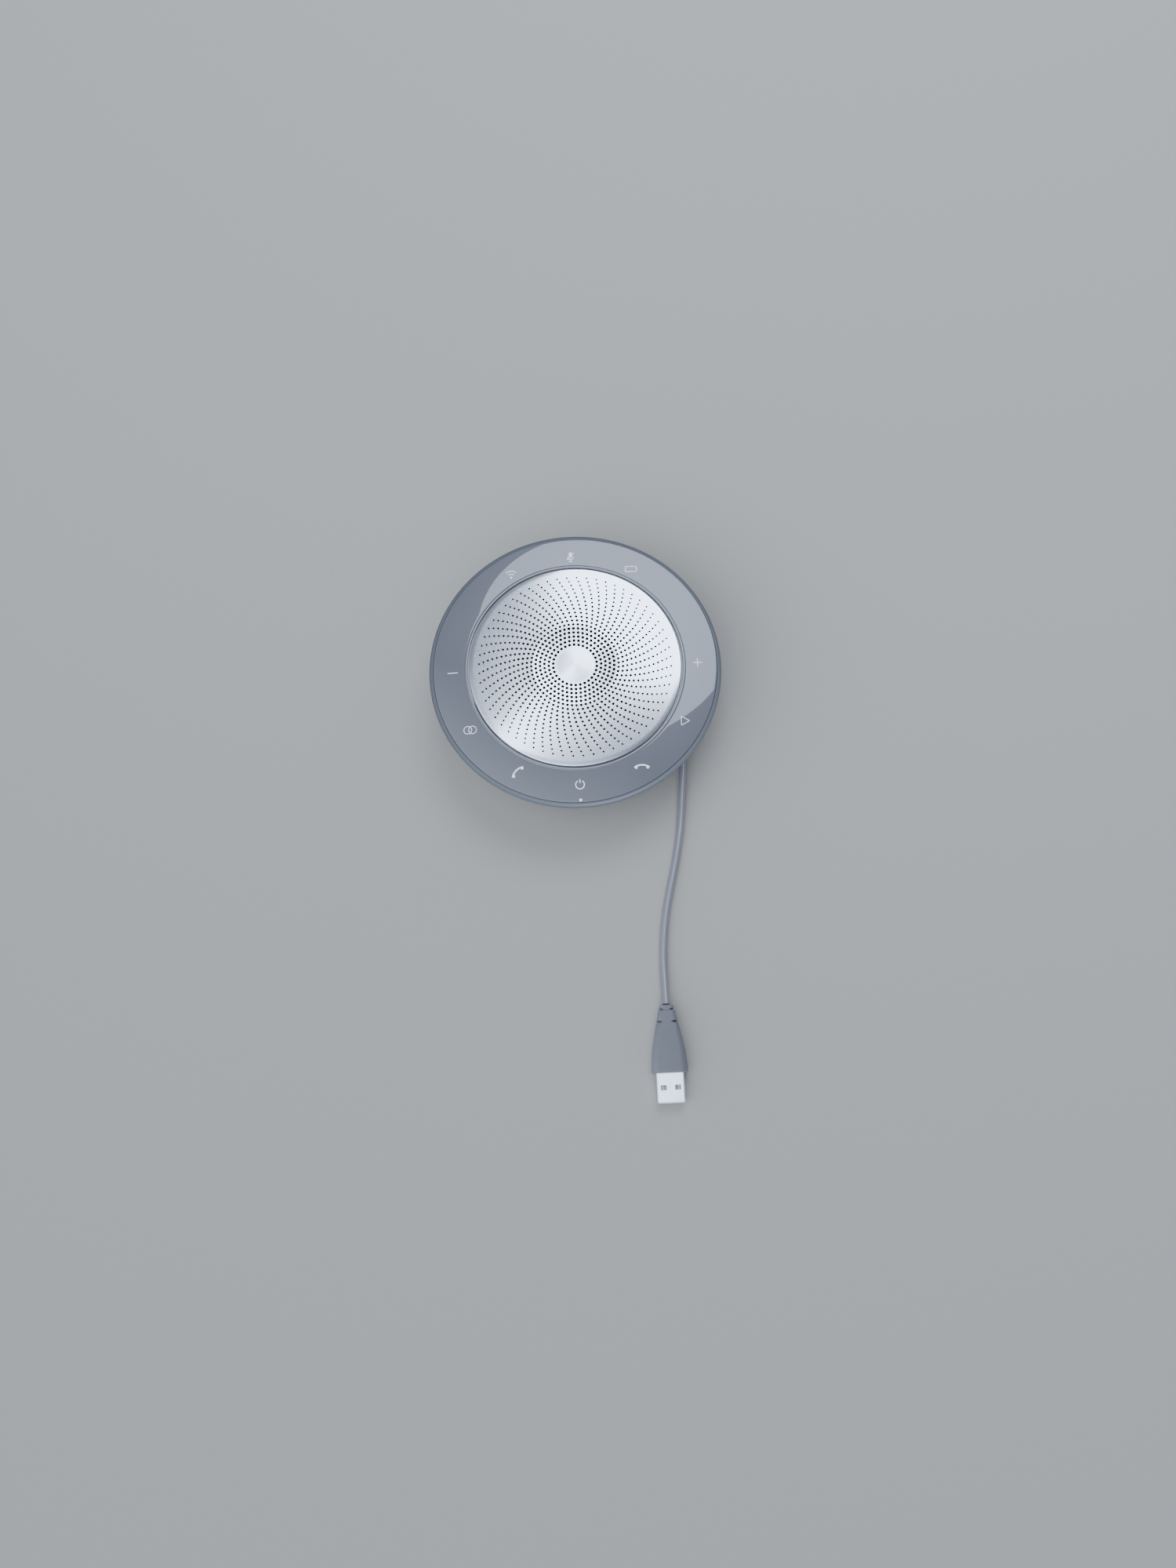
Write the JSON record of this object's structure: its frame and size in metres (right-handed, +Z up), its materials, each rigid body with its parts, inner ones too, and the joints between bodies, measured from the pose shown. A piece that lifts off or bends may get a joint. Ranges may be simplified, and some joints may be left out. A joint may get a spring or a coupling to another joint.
{
  "type": "conference speakerphone",
  "caption": "Round tabletop speakerphone: perforated metal grille, glossy ring of touch keys, rim over a cable groove, fold-out stand and a lead with a USB plug.",
  "frame": {"origin": "centre of the rubber foot's underside, on the table", "axes": "+Z up through the grille, -Y towards the user (the power key's side), +X to the user's right"},
  "size_m": [0.132, 0.2579, 0.033],
  "materials": {
    "rim_plastic": "fine satin grain",
    "base_plastic": "fine matt grain",
    "ring_gloss": "polished, with white printed key symbols",
    "grille_metal": "spun and finely perforated",
    "trim_metal": "bright",
    "foot_rubber": "matt",
    "cord_rubber": "smooth matt sheath",
    "plug_rubber": "matt overmould",
    "plug_steel": "plated",
    "screw_steel": "plain",
    "contact_gold": "plated",
    "tongue_plastic": "white",
    "clear_plastic": "frosted",
    "circuit_board": "solder mask",
    "chip_plastic": "moulded",
    "shield_steel": "tinned",
    "battery_foil": "foil pouch",
    "foam": "closed-cell foam",
    "cloth": "woven acoustic cloth",
    "cone_paper": "pressed",
    "spider_cloth": "varnished",
    "ferrite": "ground",
    "coil_copper": "enamelled wire",
    "speaker_steel": "zinc plated",
    "white_plastic": "moulded"
  },
  "bodies": {
    "housing": {"foot_ring": "foot_rubber", "bottom_cover": "base_plastic", "hinge_pin_right": "screw_steel", "hinge_pin_left": "screw_steel", "lower_housing": "base_plastic", "cable_grommet": "plug_rubber", "upper_housing": "rim_plastic", "touch_ring_cover": "ring_gloss", "light_guide": "clear_plastic", "touch_board": "circuit_board", "grille_trim": "trim_metal", "speaker_grille": "grille_metal", "grille_cloth": "cloth", "speaker_baffle": "base_plastic", "speaker_gasket": "foam", "speaker_basket": "speaker_steel", "cone_surround": "foot_rubber", "cone_spider": "spider_cloth", "magnet_top_plate": "speaker_steel", "speaker_magnet": "ferrite", "magnet_yoke": "speaker_steel", "main_board": "circuit_board", "processor_shield": "shield_steel", "wireless_module": "shield_steel", "audio_amplifier": "chip_plastic", "cable_socket": "white_plastic", "battery_socket": "white_plastic", "battery_cell": "battery_foil", "battery_foam": "foam", "microphone_boot": "foot_rubber", "microphone_capsule": "shield_steel", "case_screw_1": "screw_steel", "case_screw_2": "screw_steel", "case_screw_3": "screw_steel", "case_screw_4": "screw_steel", "board_screw_1": "screw_steel", "board_screw_2": "screw_steel", "board_screw_3": "screw_steel", "board_screw_4": "screw_steel", "cord_coil": "cord_rubber", "cord_lead": "cord_rubber", "plug_body": "plug_rubber", "plug_shell": "plug_steel", "plug_tongue": "tongue_plastic", "plug_contact_1": "contact_gold", "plug_contact_2": "contact_gold", "plug_contact_3": "contact_gold", "plug_contact_4": "contact_gold"},
    "stand": {"stand_leg": "base_plastic", "stand_pad": "foot_rubber"},
    "cone": {"speaker_cone": "cone_paper", "dust_cap": "cone_paper", "voice_coil": "coil_copper"}
  },
  "joints": [
    {"name": "stand_fold", "type": "hinge", "parent": "housing", "child": "stand", "pos_m": [0, -0.022, 0.0029], "axis": [-1, 0, 0], "range_deg": [0, 95]},
    {"name": "cone_travel", "type": "slide", "parent": "housing", "child": "cone", "axis": [0, 0, 1], "range_m": [-0.001, 0.001], "stiffness_N_per_m": 1200, "deforming": ["cone_surround", "cone_spider"]}
  ]
}
